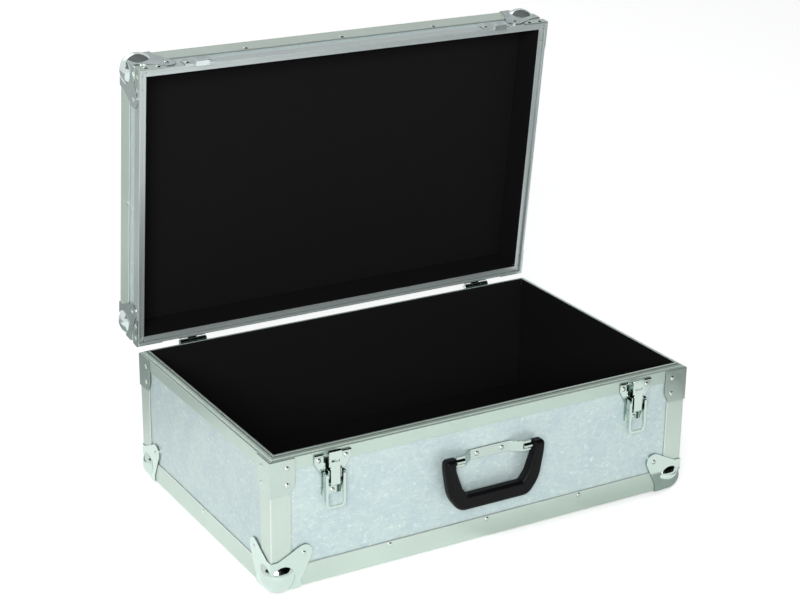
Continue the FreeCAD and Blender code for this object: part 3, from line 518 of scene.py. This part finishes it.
def feltSheet(name, corner, across, along, face, flap, turn, body):
    # corner on the glued side, two edge vectors, face as thickness, flap as the length over the rim leg
    cut = liningCut
    cell = cut["cell"] * mm
    leg = cut["leg"] * mm
    columns = evenSteps(0, across.length, cell)
    rows = evenSteps(0, along.length - flap, cell)
    rows = [(place, 0) for place in rows]
    if flap:
        rows += [(place, leg) for place in evenSteps(along.length - flap, along.length, cell)]
    mesh = bmesh.new()

    def point(column, row, top):
        up, step = rows[row]
        side = min(max(columns[column], step), across.length - step)
        place = corner + across.normalized() * side + along.normalized() * up
        rim = column in (0, len(columns) - 1) or row in (0, len(rows) - 1)
        drop = cut["edge"] * mm if rim else abs(noise.noise(place * cut["waves"])) * cut["wave"] * mm
        return place + face.normalized() * (face.length - drop if top else step)

    lastColumn = len(columns) - 1
    lastRow = len(rows) - 1
    top = [[mesh.verts.new(point(c, r, True)) for c in range(lastColumn + 1)] for r in range(lastRow + 1)]
    low = [[mesh.verts.new(point(c, r, False)) for c in range(lastColumn + 1)] for r in range(lastRow + 1)]
    for r in range(lastRow):
        for c in range(lastColumn):
            mesh.faces.new((top[r][c], top[r][c + 1], top[r + 1][c + 1], top[r + 1][c]))
            mesh.faces.new((low[r][c], low[r + 1][c], low[r + 1][c + 1], low[r][c + 1]))
    for c in range(lastColumn):
        mesh.faces.new((top[0][c], low[0][c], low[0][c + 1], top[0][c + 1]))
        mesh.faces.new((top[-1][c + 1], low[-1][c + 1], low[-1][c], top[-1][c]))
    for r in range(lastRow):
        mesh.faces.new((top[r + 1][0], low[r + 1][0], low[r][0], top[r][0]))
        mesh.faces.new((top[r][-1], low[r][-1], low[r + 1][-1], top[r + 1][-1]))
    bmesh.ops.recalc_face_normals(mesh, faces=mesh.faces)
    bmesh.ops.transform(mesh, matrix=turn, verts=mesh.verts)
    data = bpy.data.meshes.new(name)
    mesh.to_mesh(data)
    mesh.free()
    data.materials.append(felt)
    piece = bpy.data.objects.new(name, data)
    bpy.context.scene.collection.objects.link(piece)
    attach(piece, body)
    return piece, (across.length, along.length)


def lineCase(prefix, flatNode, wallNode, turn, faceUp):
    flatLow, flatHigh = boxOf(pointsBefore(flatNode, turn))
    wallPoints = pointsBefore(wallNode, turn)
    wallLow, wallHigh = boxOf(wallPoints)
    size = flatHigh - flatLow
    thick = size.z
    glued = flatLow.z if faceUp > 0 else flatHigh.z
    piece, cut = feltSheet(prefix + "FlatFelt", Vector((flatLow.x, flatLow.y, glued)), Vector((size.x, 0, 0)),
                           Vector((0, size.y, 0)), Vector((0, 0, faceUp * thick)), 0, turn, prefix)
    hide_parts(flatNode)
    levels = sorted({round(point.z, 5) for point in wallPoints})   # foot, step at the rim's leg, cut edge
    flap = levels[-1] - levels[1] if faceUp > 0 else levels[-2] - levels[0]
    foot = wallLow.z if faceUp > 0 else wallHigh.z
    span = wallHigh - wallLow
    up = Vector((0, 0, faceUp * span.z))
    walls = [
        ("Front", Vector((wallLow.x, wallLow.y, foot)), Vector((span.x, 0, 0)), Vector((0, thick, 0))),
        ("Back", Vector((wallLow.x, wallHigh.y, foot)), Vector((span.x, 0, 0)), Vector((0, -thick, 0))),
        ("Left", Vector((wallLow.x, wallLow.y + thick, foot)), Vector((0, span.y - 2 * thick, 0)),
         Vector((thick, 0, 0))),
        ("Right", Vector((wallHigh.x, wallLow.y + thick, foot)), Vector((0, span.y - 2 * thick, 0)),
         Vector((-thick, 0, 0))),
    ]
    for word, corner, across, face in walls:
        piece, cut = feltSheet(prefix + word + "Felt", corner, across, up, face, flap, turn, prefix)
        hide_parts(wallNode)


lineCase("base", "base_floor_lining", "base_wall_lining", Matrix.Identity(4), 1)
lineCase("lid", "lid_top_lining", "lid_wall_lining", lidTurn(), -1)
print("lining laid")

# embossed sheets: rolled dents in real relief, cut off under the ball corners as the boards are
embossCut = {
    "sheet": 0.5,            # mm thick
    "cell": 2.4,             # mm between the points of a sheet
    "dent": 7.5,             # mm from one dent to the next
    "depth": 0.30,           # mm, a little over half of the sheet's thickness
    "fine": 0.45,            # size and weight of the small dents beside the large ones
    "shift": (7, 3, 5),      # sets the small dents apart from the large ones
    "gain": 1.6,             # brings most dents near the full depth
    "chop": 24.0,            # mm along each edge that the corner cut takes off
}


def dentDepth(place):
    cut = embossCut
    coarse = noise.noise(place / (cut["dent"] * mm))
    fine = noise.noise(place / (cut["dent"] * cut["fine"] * mm) + Vector(cut["shift"]))
    return min(1, abs(coarse + cut["fine"] * fine) * cut["gain"]) * cut["depth"] * mm


def embossedSheet(name, low, high, outward, corners, turn, body):
    thin = max(range(3), key=lambda i: abs(outward[i]))
    first, second = [i for i in range(3) if i != thin]
    cell = embossCut["cell"] * mm
    columns = evenSteps(low[first], high[first], cell)
    rows = evenSteps(low[second], high[second], cell)
    outer = high[thin] if outward[thin] > 0 else low[thin]
    inner = low[thin] if outward[thin] > 0 else high[thin]
    mesh = bmesh.new()

    def point(column, row, top):
        place = Vector((0, 0, 0))
        place[first] = columns[column]
        place[second] = rows[row]
        place[thin] = outer
        place[thin] = outer - outward[thin] * dentDepth(place) if top else inner
        return place

    lastColumn = len(columns) - 1
    lastRow = len(rows) - 1
    top = [[mesh.verts.new(point(c, r, True)) for c in range(lastColumn + 1)] for r in range(lastRow + 1)]
    backs = [mesh.verts.new(point(c, r, False)) for c, r in
             ((0, 0), (lastColumn, 0), (lastColumn, lastRow), (0, lastRow))]
    for r in range(lastRow):
        for c in range(lastColumn):
            face = mesh.faces.new((top[r][c], top[r][c + 1], top[r + 1][c + 1], top[r + 1][c]))
            face.smooth = True
    mesh.faces.new(backs)
    mesh.faces.new(top[0] + [backs[1], backs[0]])
    mesh.faces.new(top[-1] + [backs[2], backs[3]])
    mesh.faces.new([row[0] for row in top] + [backs[3], backs[0]])
    mesh.faces.new([row[-1] for row in top] + [backs[2], backs[1]])
    bmesh.ops.recalc_face_normals(mesh, faces=mesh.faces)
    for corner, away in corners:
        cut = bmesh.ops.bisect_plane(
            mesh, geom=mesh.verts[:] + mesh.edges[:] + mesh.faces[:], clear_outer=True,
            plane_co=corner - away * (embossCut["chop"] * mm / 3), plane_no=away)   # mid of the cut
        edges = [item for item in cut["geom_cut"] if isinstance(item, bmesh.types.BMEdge)]
        bmesh.ops.holes_fill(mesh, edges=edges)
    bmesh.ops.transform(mesh, matrix=turn, verts=mesh.verts)
    data = bpy.data.meshes.new(name)
    mesh.to_mesh(data)
    mesh.free()
    data.materials.append(embossed)
    piece = bpy.data.objects.new(name, data)
    bpy.context.scene.collection.objects.link(piece)
    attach(piece, body)
    return piece


def skinCase(body, node, edgeNode, turn, flatSide):
    low, high = boxOf(pointsBefore(node, turn))
    thick = embossCut["sheet"] * mm
    sides = [pointsBefore(body + edgeNode + side, turn) for side in ("front", "back", "left", "right")]
    caseLow, caseHigh = boxOf([point for side in sides for point in side])
    level = caseLow.z if flatSide < 0 else caseHigh.z
    corners = [(Vector((caseHigh.x if x > 0 else caseLow.x, caseHigh.y if y > 0 else caseLow.y, level)),
                Vector((x, y, flatSide))) for x in (-1, 1) for y in (-1, 1)]
    sheets = [                # word, thin axis, side of it, axes along which it stands between others
        ("Front", 1, -1, ()), ("Back", 1, 1, ()), ("Left", 0, -1, (1,)), ("Right", 0, 1, (1,)),
        ("Flat", 2, flatSide, (0, 1)),
    ]
    for word, thin, sign, insets in sheets:
        sheetLow, sheetHigh = low.copy(), high.copy()
        outward = Vector((0, 0, 0))
        outward[thin] = sign
        for axis in insets:
            sheetLow[axis] += thick
            sheetHigh[axis] -= thick
        if sign > 0:
            sheetLow[thin] = sheetHigh[thin] - thick
        else:
            sheetHigh[thin] = sheetLow[thin] + thick
        near = [(corner, away) for corner, away in corners if away[thin] == sign]
        piece = embossedSheet(body + word + "Skin", sheetLow, sheetHigh, outward, near, turn, body)
        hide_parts(node)


skinCase("base", "base_panel_skins", "_bottom_edge_", Matrix.Identity(4), -1)
skinCase("lid", "lid_panel_skins", "_top_edge_", lidTurn(), 1)
print("sheets embossed")
